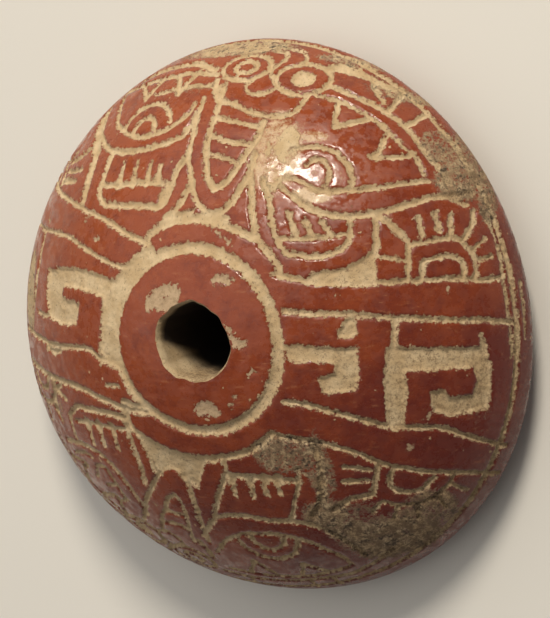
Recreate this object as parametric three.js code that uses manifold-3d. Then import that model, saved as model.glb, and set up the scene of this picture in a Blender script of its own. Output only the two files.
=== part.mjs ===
// Clay spindle whorl: a low domed disc with a flat base and a hole through its middle. Its dome is
// carved with a collar round the hole, two bands of stepped frets and two fanged faces, each with
// its tongue towards the hole. Millimetres, +Z up, base on Z = 0, box centred on the origin.
import * as THREE from 'three';
import { mergeVertices } from 'three/addons/utils/BufferGeometryUtils.js';
import Module from 'manifold-3d';

const wasm = await Module();
wasm.setup();

// The body
const wholeHeight = 20.3;
const widestRadius = 26;
const widestHeight = 3.6;
const baseRadius = 19.5;
const domePower = 1.6; // 2 makes an ellipse, and less makes a straighter, more pointed dome

// The body was turned and pressed by hand, so it is a little out of round
const ovalSwell = 0.22;
const ovalToward = 125;
const lobeSwell = 0.35;
const lobeToward = 76;
const crownLean = 0.25;
const crownLeanToward = 160;

// The hole, the plain disc round it and the collar cut round the disc
const boreRadius = 3.45;
const boreLip = 0.25;
const discWidth = 4.35;
const collarWidth = 1;
const collarDepth = 0.5;

// The carved lines
const lineWidth = 0.7;
const lineDepth = 0.42;
const fretDepth = 0.55;
const thinLineWidth = 0.5;
const rimLineInset = 1.7; // from the widest line up the dome, at the middle of its wander
const rimLineWander = 0.75;
const cutterStandsProud = 0.3;

// The design is drawn flat, in millimetres, from the disc's edge to the dome's widest line
const drawnDiscRadius = 8;
const drawnEdgeRadius = 32.6;

// How finely the faces are cut
const roundSides = 40;
const domeRings = 7;
const flankRings = 3;
const carvingStep = 4.6;
const arcSamples = 400;

const degrees = Math.PI / 180;
const domeHeight = wholeHeight - widestHeight;

// A point on the dome's profile: angle 0 is the widest line and a quarter turn is the crown
function domeProfile(angle) {
  const outward = Math.max(Math.cos(angle), 0) ** (2 / domePower);
  const upward = Math.max(Math.sin(angle), 0) ** (2 / domePower);
  return new THREE.Vector2(widestRadius * outward, widestHeight + domeHeight * upward);
}

// Distances along the dome from its crown, so that the flat design keeps its sizes on it
const domeTable = [{ distance: 0, point: domeProfile(Math.PI / 2) }];
for (let i = 1; i <= arcSamples; i += 1) {
  const point = domeProfile((1 - i / arcSamples) * Math.PI / 2);
  const last = domeTable[i - 1];
  domeTable.push({ distance: last.distance + point.distanceTo(last.point), point });
}
const domeArc = domeTable[arcSamples].distance;

function domeAt(distance) {
  const next = domeTable.findIndex((entry) => entry.distance >= distance);
  if (next < 1) {
    return next === 0 ? domeTable[0].point.clone() : domeTable[arcSamples].point.clone();
  }
  const from = domeTable[next - 1];
  const to = domeTable[next];
  const share = (distance - from.distance) / (to.distance - from.distance);
  return from.point.clone().lerp(to.point, share);
}

function domeNormal(point) {
  const outward = (point.x / widestRadius) ** (domePower - 1) / widestRadius;
  const upward = (Math.max(point.y - widestHeight, 0) / domeHeight) ** (domePower - 1) / domeHeight;
  return new THREE.Vector2(outward, upward).normalize();
}

// Pushes a round point out to the hand-made outline
function outOfRound(radius, height, angle) {
  const oval = ovalSwell * Math.cos(2 * (angle - ovalToward * degrees));
  const lobes = lobeSwell * Math.cos(3 * (angle - lobeToward * degrees));
  const reach = radius * (1 + (oval + lobes) / widestRadius);
  const lean = crownLean * height / wholeHeight;
  return new THREE.Vector3(
    reach * Math.cos(angle) + lean * Math.cos(crownLeanToward * degrees),
    reach * Math.sin(angle) + lean * Math.sin(crownLeanToward * degrees),
    height,
  );
}

// The outline's middle, which is moved onto the origin
const outlineBox = new THREE.Box3();
for (let i = 0; i < roundSides; i += 1) {
  outlineBox.expandByPoint(outOfRound(widestRadius, widestHeight, i / roundSides * 2 * Math.PI));
}
const outlineMiddle = outlineBox.getCenter(new THREE.Vector3()).setZ(0);

function toSolid(geometry) {
  return new wasm.Manifold(new wasm.Mesh({
    numProp: 3,
    vertProperties: new Float32Array(geometry.getAttribute('position').array),
    triVerts: new Uint32Array(geometry.getIndex().array),
  }));
}

// The plain body: crown side, flank, flat base and bore wall, turned as one closed profile
function bodySolid() {
  const discEdge = domeAt(boreRadius + boreLip);
  const firstRing = boreRadius + boreLip;
  const profile = [];
  for (let i = 0; i <= domeRings; i += 1) {
    profile.push(domeAt(firstRing + (domeArc - firstRing) * i / domeRings));
  }
  for (let i = 1; i <= flankRings; i += 1) {
    const angle = i / flankRings * Math.PI / 2;
    profile.push(new THREE.Vector2(
      baseRadius + (widestRadius - baseRadius) * Math.cos(angle),
      widestHeight * (1 - Math.sin(angle)),
    ));
  }
  profile.push(new THREE.Vector2(boreRadius + boreLip, 0));
  profile.push(new THREE.Vector2(boreRadius, boreLip));
  profile.push(new THREE.Vector2(boreRadius, discEdge.y - boreLip));
  profile.push(profile[0].clone());
  profile.reverse();

  const turned = new THREE.LatheGeometry(profile, roundSides);
  turned.deleteAttribute('normal');
  turned.deleteAttribute('uv');
  const body = mergeVertices(turned.rotateX(Math.PI / 2));
  const places = body.getAttribute('position');
  for (let i = 0; i < places.count; i += 1) {
    const radius = Math.hypot(places.getX(i), places.getY(i));
    const angle = Math.atan2(places.getY(i), places.getX(i));
    const moved = outOfRound(radius, places.getZ(i), angle).sub(outlineMiddle);
    places.setXYZ(i, moved.x, moved.y, moved.z);
  }
  return toSolid(body);
}

// Lays a point of the flat design on the dome, with the direction straight out of the clay there
function onDome(drawn) {
  const discEdge = boreRadius + discWidth;
  const drawnRadius = drawn.length();
  const angle = Math.atan2(drawn.y, drawn.x);
  const spread = (domeArc - discEdge) / (drawnEdgeRadius - drawnDiscRadius);
  const distance = drawnRadius < drawnDiscRadius
    ? drawnRadius * discEdge / drawnDiscRadius
    : discEdge + (drawnRadius - drawnDiscRadius) * spread;
  const profilePoint = domeAt(distance);
  const slope = domeNormal(profilePoint);
  return {
    place: outOfRound(profilePoint.x, profilePoint.y, angle).sub(outlineMiddle),
    outward: new THREE.Vector3(slope.x * Math.cos(angle), slope.x * Math.sin(angle), slope.y),
  };
}

// Joins rows of points into a closed skin, end to end or round in a ring
function skinOver(rows, ring) {
  const across = rows[0].length;
  const points = rows.flat().flatMap((point) => [point.x, point.y, point.z]);
  const faces = [];
  const last = ring ? rows.length : rows.length - 1;
  for (let i = 0; i < last; i += 1) {
    const here = i * across;
    const there = ((i + 1) % rows.length) * across;
    for (let k = 0; k < across; k += 1) {
      const next = (k + 1) % across;
      faces.push(here + k, there + next, here + next);
      faces.push(here + k, there + k, there + next);
    }
  }
  if (!ring) {
    const end = (rows.length - 1) * across;
    for (let k = 2; k < across; k += 1) {
      faces.push(0, k - 1, k);
      faces.push(end, end + k, end + k - 1);
    }
  }
  const geometry = new THREE.BufferGeometry();
  geometry.setAttribute('position', new THREE.Float32BufferAttribute(points, 3));
  geometry.setIndex(faces);
  return geometry;
}

// The gouge that follows one stroke: a V for a line, with a flat bottom where the stroke is wide
function gouge({ path, width, depth, ring = false }) {
  const laid = path.map(onDome);
  const count = path.length;
  const rows = laid.map(({ place, outward }, i) => {
    const before = ring ? (i + count - 1) % count : Math.max(i - 1, 0);
    const after = ring ? (i + 1) % count : Math.min(i + 1, count - 1);
    const arriving = path[i].clone().sub(path[before]).normalize();
    const leaving = path[after].clone().sub(path[i]).normalize();
    const turn = arriving.lengthSq() && leaving.lengthSq() ? arriving.angleTo(leaving) : 0;
    const mitre = Math.min(1 / Math.cos(turn / 2), 2);
    const along = laid[after].place.clone().sub(laid[before].place).normalize();
    const side = along.clone().cross(outward).normalize();
    const half = width / 2 * mitre;
    const floorHalf = Math.max(half - depth, 0);
    const topHalf = half + (half - floorHalf) * cutterStandsProud / depth;
    const at = (out, over) => place.clone().addScaledVector(outward, out).addScaledVector(side, over);
    const row = [at(cutterStandsProud, -topHalf), at(-depth, -floorHalf)];
    if (width / 2 > depth) {
      row.push(at(-depth, floorHalf));
    }
    row.push(at(cutterStandsProud, topHalf));
    return row;
  });
  return toSolid(skinOver(rows, ring));
}

// Drawing tools: each gives the points of one stroke
const point = (x, y) => new THREE.Vector2(x, y);

function spaced(curve) {
  return curve.getSpacedPoints(Math.max(1, Math.round(curve.getLength() / carvingStep)));
}

function bent(...handles) {
  return spaced(new THREE.SplineCurve(handles.map(([x, y]) => point(x, y))));
}

function straight(...corners) {
  const path = [point(...corners[0])];
  for (let i = 1; i < corners.length; i += 1) {
    path.push(...spaced(new THREE.LineCurve(point(...corners[i - 1]), point(...corners[i]))).slice(1));
  }
  return path;
}

function round(x, y, radiusX, radiusY, from = 0, to = 360) {
  const curve = new THREE.EllipseCurve(x, y, radiusX, radiusY, from * degrees, to * degrees, to < from);
  const path = curve.getPoints(Math.max(6, Math.round(curve.getLength() / carvingStep)));
  return Math.abs(to - from) === 360 ? path.slice(0, -1) : path;
}

// Moves a stroke from its own small drawing, where X runs to the side and Y along a direction
function placed(strokes, x, y, direction, flip = 1) {
  const turn = (direction - 90) * degrees;
  return strokes.map((stroke) => ({
    ...stroke,
    path: stroke.path.map((p) => (
      point(p.x * flip, p.y).rotateAround(new THREE.Vector2(), turn).add(point(x, y))
    )),
  }));
}

const line = (path, width = lineWidth) => ({ path, width, depth: lineDepth });
const loop = (path, width = lineWidth) => ({ path, width, depth: lineDepth, ring: true });
const broad = (path, width) => ({ path, width, depth: fretDepth });

// The collar, the two crescents beside it and the line round the rim
function ringsAndRim() {
  const collarPath = round(0, 0, drawnDiscRadius + collarWidth / 2, drawnDiscRadius + collarWidth / 2);
  const rimPath = [];
  for (let i = 0; i < roundSides; i += 1) {
    const angle = i / roundSides * 2 * Math.PI;
    const radius = drawnEdgeRadius - rimLineInset + rimLineWander * Math.sin(angle);
    rimPath.push(point(radius * Math.cos(angle), radius * Math.sin(angle)));
  }
  return [
    { path: collarPath, width: collarWidth, depth: collarDepth, ring: true },
    loop(rimPath),
    line(round(-0.8, -0.3, 11.2, 11.8, 127, 36)),
    line(round(-0.8, 0, 11.6, 11.4, 221, 309)),
  ];
}

// Each band is four lines from the collar to the rim, with frets between its middle two
function frettedBands() {
  const bandLines = [
    [[8, 5.8], [13, 5.2], [29.5, 5]],
    [[9, 2.7], [29.8, 0]],
    [[8.4, -5.6], [27, -12.4]],
    [[6.6, -8.4], [26, -15.8]],
    [[-5.2, 9], [-26, 16.9]],
    [[-7.7, 6.8], [-15, 9.2], [-27, 11.5]],
    [[-8.8, -2.7], [-12, -1.6], [-29.5, -0.2]],
    [[-6.6, -7], [-14, -5.3], [-29, -3.6]],
  ];
  const left = [
    broad(straight([-8.9, 4.9], [-18.3, 5.8], [-18.5, 2.2], [-14, 2.2]), 1.9),
    line(straight([-23, 10], [-24, -0.4])),
    broad(straight([-10.1, 4], [-10.7, 0.2], [-10.3, -1.8]), 1.1),
  ];
  const right = [
    broad(straight([9, -1.2], [13.8, -1.2], [13.8, -4.5], [11.6, -4.3]), 1.2),
    broad(straight([18.4, 1.2], [17.9, -4], [17.3, -8.5]), 1),
    broad(straight([18.2, -2.6], [26.4, -3.3], [26.2, -7.4], [21.6, -7.1]), 1.3),
    line(straight([26.5, -3], [26.6, -0.8])),
  ];
  return [...bandLines.map((handles) => line(bent(...handles))), ...left, ...right];
}

// A tongue with an outer edge, an inner edge and cross stripes
function tongue() {
  const stripes = [22.4, 20, 17.6].map((height, i) => (
    line(straight([-1.6, height], [3.4 - 0.4 * i, height - 1]), thinLineWidth)
  ));
  return [
    line(bent([-3.9, 22.9], [-3.6, 18.6], [-2, 14.1], [-0.3, 11.6])),
    line(bent([3.9, 17.2], [3.2, 14.4], [2, 11.6])),
    line(bent([-2, 22.4], [-1.7, 18], [-0.9, 14.9], [0.5, 13.5], [1.8, 15.2], [3.6, 20.3])),
    ...stripes,
  ];
}

// A half-moon eye: brow, lid, iris and pupil, with two pointed lashes hanging from the brow.
// X runs along the brow from its middle and Y towards the hole.
function eye(length, depth) {
  const half = length / 2;
  const irisRadius = depth * 0.46;
  const lashes = [-half * 0.45, half * 0.15].map((across) => (
    line(straight([across - 1.5, -0.9], [across, 1.7], [across + 1.5, -0.9]), thinLineWidth)
  ));
  return [
    line(bent([-half, 0.2], [-half * 0.4, -1.5], [half * 0.4, -1.4], [half, 0.6])),
    line(bent([-half * 0.8, -1.7], [-half * 0.2, -3.1], [half * 0.5, -2.8], [half * 1.1, 0])),
    line(bent([-half * 0.86, depth * 0.4], [-half * 0.2, depth], [half * 0.5, depth * 0.8], [half, 1])),
    line(round(-half * 0.1, depth * 0.94, irisRadius, irisRadius, -10, -170)),
    line(round(-half * 0.1, depth * 0.94, irisRadius * 0.45, irisRadius * 0.45, 0, -180)),
    ...lashes,
  ];
}

// A mouth box, rounded towards the hole, with a gum line and pointed teeth standing on it
function toothBox(width, height, teeth) {
  const half = width / 2;
  const corner = 1.4;
  const gum = height * 0.32;
  const toothLine = (across) => line([point(across, gum), point(across, gum + height * 0.4)]);
  const strokes = [
    line(bent([-half - 0.2, height], [-half, corner], [-half + corner, 0.1], [0, 0],
      [half - corner, 0.1], [half, corner], [half + 0.3, height])),
    line(straight([-half, gum], [half, gum])),
  ];
  for (let i = 0; i < teeth; i += 1) {
    strokes.push(toothLine(((i + 0.5) / teeth - 0.5) * width * 0.86));
  }
  return strokes;
}

// Two nostril rings and the curls that run from them to the rim
function noseRings() {
  return [
    loop(round(-0.8, 26.8, 2.7, 1.8)),
    loop(round(5.6, 25.8, 2.7, 1.9)),
    line(bent([1.2, 29.9], [2.3, 28.7], [1.8, 26.6], [2.6, 24.9])),
    line(bent([2.4, 29.4], [4.6, 28.9], [5.4, 27.6])),
  ];
}

// One fanged face. Its own drawing has the tongue along Y and the hole at its origin.
// Each side gives its eye (middle, length, depth, direction) and its tooth box in the same way.
function fangedFace(direction, sides) {
  const strokes = [...tongue(), ...noseRings()];
  sides.forEach(({ flip, eyeAt, box, cheek, post }) => {
    strokes.push(...placed(eye(eyeAt.length, eyeAt.depth), eyeAt.x, eyeAt.y, eyeAt.toHole, flip));
    strokes.push(...placed(toothBox(box.width, box.height, box.teeth), box.x, box.y, box.outward));
    strokes.push(line(bent(...cheek)));
    strokes.push(line(straight(...post)));
  });
  return placed(strokes, 0, 0, direction);
}

// A fan of short rays over two half rings, standing on the band's edge
function fan(x, y, direction) {
  const strokes = [
    line(round(0, 0, 1.9, 2, 5, 175)),
    line(round(0, 0, 3.3, 3.5, 0, 180)),
  ];
  for (let ray = 0; ray < 5; ray += 1) {
    const angle = (14 + ray * 32) * degrees;
    const from = point(Math.cos(angle), Math.sin(angle)).multiplyScalar(4.3);
    strokes.push(line([from, from.clone().multiplyScalar(1.36)], thinLineWidth));
  }
  return placed(strokes, x, y, direction);
}

function upperFace() {
  return fangedFace(85, [
    {
      flip: 1,
      eyeAt: { x: -10.6, y: 25.6, length: 14, depth: 6.6, toHole: 264 },
      box: { x: -9.1, y: 11.9, width: 9.2, height: 5.2, outward: 88, teeth: 4 },
      cheek: [[-18.4, 22.6], [-16.4, 18.2], [-10.5, 17.1], [-5.2, 18.6], [-4, 21.2]],
      post: [[-16.5, 17.4], [-16.2, 12]],
    },
    {
      flip: -1,
      eyeAt: { x: 14.5, y: 20.2, length: 16.2, depth: 6.8, toHole: 241 },
      box: { x: 10.4, y: 8.9, width: 6.9, height: 5, outward: 97, teeth: 3 },
      cheek: [[5.2, 15.5], [8.6, 13.2], [13.4, 12.3], [17.9, 13.8], [22.7, 15.6]],
      post: [[15.8, 12.4], [16.1, 8.9]],
    },
  ]);
}

function lowerFace() {
  return fangedFace(250, [
    {
      flip: 1,
      eyeAt: { x: -12.4, y: 23.4, length: 14, depth: 6.6, toHole: 288 },
      box: { x: -8.5, y: 10, width: 7, height: 5.6, outward: 70, teeth: 4 },
      cheek: [[-3.6, 21.1], [-5.2, 17], [-11.4, 14.6], [-16, 15.6], [-18.4, 17.1]],
      post: [[-13.2, 6.4], [-14.4, 12.2]],
    },
    {
      flip: -1,
      eyeAt: { x: 12.6, y: 23.2, length: 14, depth: 6.6, toHole: 252 },
      box: { x: 9.9, y: 12.2, width: 8.8, height: 5.4, outward: 111, teeth: 4 },
      cheek: [[3.8, 21.6], [5.6, 18.9], [8.4, 17.6], [13, 18.3], [17.8, 21.4]],
      post: [[16, 11.2], [17, 15]],
    },
  ]);
}

const strokes = [
  ...ringsAndRim(),
  ...frettedBands(),
  ...upperFace(),
  ...lowerFace(),
  ...fan(23.2, 5.2, 90),
  ...fan(18.6, -13.6, 265),
  ...fan(-22.6, 15.6, 72),
  ...fan(-22.8, -4.2, 262),
];

const carved = strokes.reduce((clay, stroke) => clay.subtract(gouge(stroke)), bodySolid());
const carvedMesh = carved.getMesh();
const carvedGeometry = new THREE.BufferGeometry();
carvedGeometry.setAttribute('position', new THREE.Float32BufferAttribute(carvedMesh.vertProperties, 3));
carvedGeometry.setIndex(Array.from(carvedMesh.triVerts));
carvedGeometry.computeVertexNormals();

const slippedClay = new THREE.MeshStandardMaterial({ color: 0x8e4030, roughness: 0.35, metalness: 0 });
const spindleWhorl = new THREE.Mesh(carvedGeometry, slippedClay);
spindleWhorl.name = 'spindle_whorl';

const whorl = new THREE.Group();
whorl.add(spindleWhorl);

export default whorl;
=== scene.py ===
# %% [markdown]
# # A carved clay spindle whorl
# A spindle whorl is the weight that keeps a hand spindle turning. This one is a low clay dome about
# 52 mm across, with a hole for the spindle through its middle. It was dipped in a red slip, polished
# with a smooth stone, fired, and carved through the slip, so that the buff clay shows in every line.
# The scene is built the way the object was: first the body, then the drawing, then the finish.

# %% Load the frame
import math

import bpy
import numpy as np
from mathutils import Matrix, Vector


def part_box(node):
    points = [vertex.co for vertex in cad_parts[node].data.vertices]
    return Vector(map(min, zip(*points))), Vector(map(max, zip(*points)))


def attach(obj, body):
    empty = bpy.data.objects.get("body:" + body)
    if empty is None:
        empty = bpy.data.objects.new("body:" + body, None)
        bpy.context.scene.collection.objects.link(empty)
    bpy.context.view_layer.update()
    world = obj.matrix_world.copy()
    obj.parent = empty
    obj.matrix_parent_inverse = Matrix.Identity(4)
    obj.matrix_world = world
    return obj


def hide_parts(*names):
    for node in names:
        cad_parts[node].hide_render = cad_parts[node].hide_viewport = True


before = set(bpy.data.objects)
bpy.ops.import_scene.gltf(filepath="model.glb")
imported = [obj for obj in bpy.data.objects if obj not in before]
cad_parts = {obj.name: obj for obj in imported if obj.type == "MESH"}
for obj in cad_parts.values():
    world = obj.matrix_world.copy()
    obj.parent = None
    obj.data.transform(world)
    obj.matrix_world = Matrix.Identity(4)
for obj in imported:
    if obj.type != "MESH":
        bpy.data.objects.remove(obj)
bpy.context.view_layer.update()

# %% [markdown]
# ## Sizes
# The sizes are in millimetres, as a potter would measure them, and they keep the whorl just inside the
# frame's own solid. The dome's profile is a superellipse: with a power of 2 it would be an ellipse, and
# 1.6 makes it a little straighter and more pointed, as the real dome is. A hand-made piece is never
# quite round, so its outline swells a little twice and three times round, and the crown leans.

# %% Sizes of the body
NODE = "spindle_whorl"
lip_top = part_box(NODE)[1][2]
MM = 0.001
WIDEST_RADIUS = 25.95
WIDEST_HEIGHT = 3.6
CROWN_HEIGHT = 20.28
BASE_RADIUS = 19.5
DOME_POWER = 1.6
BORE_RADIUS = 3.4
OVAL_SWELL, OVAL_TOWARD = 0.22, math.radians(125)
LOBE_SWELL, LOBE_TOWARD = 0.35, math.radians(76)
CROWN_LEAN, CROWN_LEAN_TOWARD = 0.25, math.radians(160)
OUTLINE_MIDDLE = (-0.276, 0.275)
HOLE_WANDER = 1.1
HOLE_SHIFT = 0.15
LINE_DEPTH = 0.31
EDGE_CRUMBLE = 0.045
CHIP_DEPTH = 0.12
DOME_RINGS = 160
LIP_RING = 18
print("whorl: %.1f mm wide, %.1f mm high at its lip" % (2 * WIDEST_RADIUS, lip_top / MM))

# %% [markdown]
# ## The profile
# One curve holds the whole cross-section: from the crown over the dome, round the flank, across the
# base and up the hole to the lip. The Screw modifier could turn it into a body, as a wheel would. Here
# a node asks it for the place at any distance along it instead, so a flat drawing laid out by distance
# from the crown wraps onto the dome without shrinking.

# %% Draw the profile
DOME_STEPS = 600
FLANK_STEPS = 40
LIP_STEPS = 12


def dome_point(angle):
    outward = max(math.cos(angle), 0.0) ** (2 / DOME_POWER)
    upward = max(math.sin(angle), 0.0) ** (2 / DOME_POWER)
    return WIDEST_RADIUS * outward, WIDEST_HEIGHT + (CROWN_HEIGHT - WIDEST_HEIGHT) * upward


def lengths_along(points):
    steps = np.hypot(*np.diff(np.array(points), axis=0).T)
    return np.concatenate([[0.0], np.cumsum(steps)])


dome = [dome_point((1 - i / DOME_STEPS) * math.pi / 2) for i in range(DOME_STEPS + 1)]
DOME_WAY = lengths_along(dome)[-1]
flank = []
for i in range(1, FLANK_STEPS + 1):
    angle = i / FLANK_STEPS * math.pi / 2
    reach = BASE_RADIUS + (WIDEST_RADIUS - BASE_RADIUS) * math.cos(angle)
    flank.append((reach, WIDEST_HEIGHT * (1 - math.sin(angle))))
FLANK_WAY = lengths_along(dome[-1:] + flank)[-1]

LIP_WAY = DOME_WAY * LIP_RING / DOME_RINGS
dome_ways = lengths_along(dome)
LIP_REACH, lip_height = (float(np.interp(LIP_WAY, dome_ways, axis)) for axis in zip(*dome))
LIP_ROUND = LIP_REACH - BORE_RADIUS


def lip_curve(centre_height, start, end):
    centre = BORE_RADIUS + LIP_ROUND
    turns = [math.radians(start + (end - start) * i / LIP_STEPS) for i in range(LIP_STEPS + 1)]
    return [(centre + LIP_ROUND * math.cos(a), centre_height + LIP_ROUND * math.sin(a)) for a in turns]


base_lip = lip_curve(LIP_ROUND, 270, 180)
crown_lip = lip_curve(lip_height - LIP_ROUND, 180, 90)
base_and_bore = base_lip + crown_lip
BORE_WAY = lengths_along(flank[-1:] + base_lip[:1])[-1]
WALL_WAY = lengths_along(base_and_bore)[-1]
print("ways in mm: dome %.1f, flank %.1f, base %.1f, bore %.1f" % (DOME_WAY, FLANK_WAY, BORE_WAY, WALL_WAY))

# %% Make the profile curve
def in_scene(name, data):
    made = bpy.data.objects.new(name, data)
    bpy.context.scene.collection.objects.link(made)
    return made


def line_object(name, points):
    data = bpy.data.curves.new(name, "CURVE")
    data.dimensions = "3D"
    spline = data.splines.new("POLY")
    spline.points.add(len(points) - 1)
    for spot, point in zip(spline.points, points):
        spot.co = (point[0], 0.0, point[1], 1.0)
    return in_scene(name, data)


profile = line_object("profile", dome + flank + base_and_bore)
print("profile curve:", len(profile.data.splines[0].points), "points")

# %% [markdown]
# ## The drawing
# The potter scratched the design freehand, so no two lines match. It could be sculpted with a brush,
# but then no line could be moved again. So the strokes are laid out on a flat sheet, in millimetres
# from the middle of the hole, with the faces above and below and the fret bands left and right. Each
# stroke has the width of the gouge that cut it and a few points that it bends through.

# %% Tools for drawing strokes
GOUGES = (0.3, 0.4, 0.5, 0.6, 0.7, 0.8, 1.0, 1.3, 1.8)
STROKE_STEP = 0.25
BEND_POINTS = 12
TURN_POINTS = 49
HATCH_WIDTH = 0.5
HATCH_STEP = 0.16
strokes = []
chips = []


def resampled(points):
    points = np.array(points, float)
    ways = lengths_along(points)
    count = max(2, int(math.ceil(ways[-1] / STROKE_STEP)) + 1)
    wanted = np.linspace(0, ways[-1], count)
    return np.column_stack([np.interp(wanted, ways, points[:, axis]) for axis in (0, 1)])


def bend_through(handles):
    handles = np.array(handles, float)
    if len(handles) == 2:
        return handles
    padded = np.vstack([2 * handles[0] - handles[1], handles, 2 * handles[-1] - handles[-2]])
    points = []
    for i in range(len(handles) - 1):
        a, b, c, d = padded[i:i + 4]
        for t in np.linspace(0, 1, BEND_POINTS, endpoint=False):
            points.append(0.5 * (2 * b + (c - a) * t + (2 * a - 5 * b + 4 * c - d) * t ** 2
                                 + (3 * b - a - 3 * c + d) * t ** 3))
    return np.array(points + [handles[-1]])


def carve(width, *handles):
    strokes.append((width, resampled(bend_through(handles))))


def carve_corners(width, *corners):
    strokes.append((width, resampled(corners)))


def carve_round(width, x, y, radius_x, radius_y, start=0, end=360):
    turns = np.radians(np.linspace(start, end, TURN_POINTS))
    points = np.column_stack([x + radius_x * np.cos(turns), y + radius_y * np.sin(turns)])
    strokes.append((width, resampled(points)))


def carve_area(*corners):
    low, high = min(y for _, y in corners), max(y for _, y in corners)
    rows = max(2, int(math.ceil((high - low - HATCH_WIDTH) / HATCH_STEP)) + 1)
    for y in np.linspace(low + HATCH_WIDTH / 2, high - HATCH_WIDTH / 2, rows):
        crossings = sorted(x1 + (y - y1) * (x2 - x1) / (y2 - y1)
                           for (x1, y1), (x2, y2) in zip(corners, corners[1:] + corners[:1])
                           if (y1 > y) != (y2 > y))
        for left, right in zip(crossings[::2], crossings[1::2]):
            if right - left > HATCH_WIDTH:
                carve_corners(HATCH_WIDTH, (left + HATCH_WIDTH / 2, y), (right - HATCH_WIDTH / 2, y))


def chip(width, *handles):
    chips.append((width, resampled(bend_through(handles))))


def repeat_turned(draw, degrees):
    first = len(strokes)
    draw()
    turn = math.radians(degrees)
    matrix = np.array([[math.cos(turn), math.sin(turn)], [-math.sin(turn), math.cos(turn)]])
    strokes[first:] = [(width, points @ matrix) for width, points in strokes[first:]]


print("gouges:", len(GOUGES), "widths, %.1f to %.1f mm" % (GOUGES[0], GOUGES[-1]))

# %% [markdown]
# ### Collar, crescents and rim
# A wide collar is cut round the plain disc at the hole. A crescent hugs it above and below. One line
# wanders round the whole rim, nearer the edge at the top and the left, with finer lines that slipped
# beside it.

# %% Draw the collar and the rim
RIM_RADIUS = 30.8
RIM_SHIFT_RIGHT = -0.35
RIM_SHIFT_UP = 0.85


def draw_rings():
    carve_round(1.1, -0.1, 0, 8.35, 8.35)
    carve(1.8, (-4.7, 7.8), (-6, 6.9), (-7.4, 5.6), (-8.5, 4.3))
    carve_area((-8, 5), (-10.1, 4.4), (-10.4, 1.5), (-10.9, -1.2), (-9.6, -2.4), (-8, -2.6))
    carve(0.7, (-5.2, 8.9), (-4.5, 9.9), (-3, 10.6), (-1, 10.9), (1, 10.8), (3, 10.3), (4.4, 9.8), (5.7, 9.3))
    carve(0.8, (0.6, 11.2), (1.8, 11.1), (3, 10.9))
    carve(0.6, (-0.4, 11.6), (-1.8, 11.3), (-3.2, 11.2))
    carve(0.7, (-8.3, -6.6), (-8.8, -7.8), (-8, -8.9), (-6, -10.1), (-4, -11), (-2, -11.3), (0, -11.3),
          (2, -10.9), (4, -10.3), (5.5, -9.3), (6.6, -8.5))
    carve(1.0, (-8.7, -7), (-8.6, -8.2))


def draw_rim():
    points = []
    for degree in range(0, 364, 4):
        turn = math.radians(degree)
        radius = RIM_RADIUS + RIM_SHIFT_UP * math.sin(turn) + RIM_SHIFT_RIGHT * math.cos(turn)
        points.append((radius * math.cos(turn), radius * math.sin(turn)))
    carve(0.6, *points)
    carve(0.3, (27.2, 12.2), (28.3, 10.2), (28.9, 8), (29.2, 5.5), (29.6, -0.5), (29.6, -3.5))
    carve(0.3, (31.4, 4.5), (31.6, 1), (31.5, -1.5))


draw_rings()
draw_rim()
print("collar and rim:", len(strokes), "strokes")

# %% [markdown]
# ### The fret bands
# Each band is four long lines from the collar to the rim. Between the middle two are square hooks,
# cleared row by row with a narrow gouge, which leaves their corners sharp and their floors rough.

# %% Draw the fret bands
def draw_right_band():
    carve(0.5, (8, 6), (10, 5.6), (13, 5.1), (17, 5), (24, 5.1), (27, 4.8), (29, 5))
    carve(0.5, (8.9, 2.7), (11, 2.4), (13.5, 2.3), (16, 2), (18, 1.7), (22, 1.2), (25, 0.9), (27, 0.7),
          (29.8, 0.1))
    carve(0.5, (8.2, -5.5), (10, -5.9), (12, -6.7), (14.5, -7.7), (16.7, -8.6), (18.5, -8.9), (21.5, -9.5),
          (23, -10.3), (25.8, -12), (28, -13.4))
    carve(0.5, (6.3, -8.4), (8, -8.9), (10, -9.4), (12, -10.1), (14, -11.1), (15.2, -12), (16.8, -12.8),
          (18, -13.2), (19.5, -13.9), (21, -14.3), (24, -15.2), (27, -16.7))
    carve_area((10.6, 5.2), (11.4, 6), (14.4, 6.4), (16.2, 7.5), (17.1, 8.2), (17.1, 5.1))
    carve_area((13.3, 0.1), (14.7, 0), (15.3, 0.6), (15.1, 1.9), (14.4, 1.9))
    carve_area((8.7, -0.4), (12, -0.9), (15.1, -1.1), (15, -3.6), (14.5, -5), (11.5, -4.9), (11.4, -3.6),
               (12.8, -3.4), (13.1, -2.1), (8.9, -1.7))
    carve(0.6, (18.6, 1.4), (18.4, -0.4), (18.2, -1.6))
    carve_area((17.6, -1.2), (18.9, -1.4), (26.5, -2.1), (27.1, -3.8), (27, -6), (26.4, -8.3), (22.5, -8.3),
               (21, -7.7), (21.1, -5.8), (22.3, -5.9), (22.9, -6.7), (24.9, -6.8), (25.6, -5.4), (25.4, -3.8),
               (19, -3.4), (19, -5.5), (18.3, -8.7), (16.7, -8.5), (17.1, -4))
    carve(0.4, (26.4, -0.8), (26.6, -1.8))
    carve(0.6, (26.6, -1.6), (26.7, -2.8))


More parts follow.
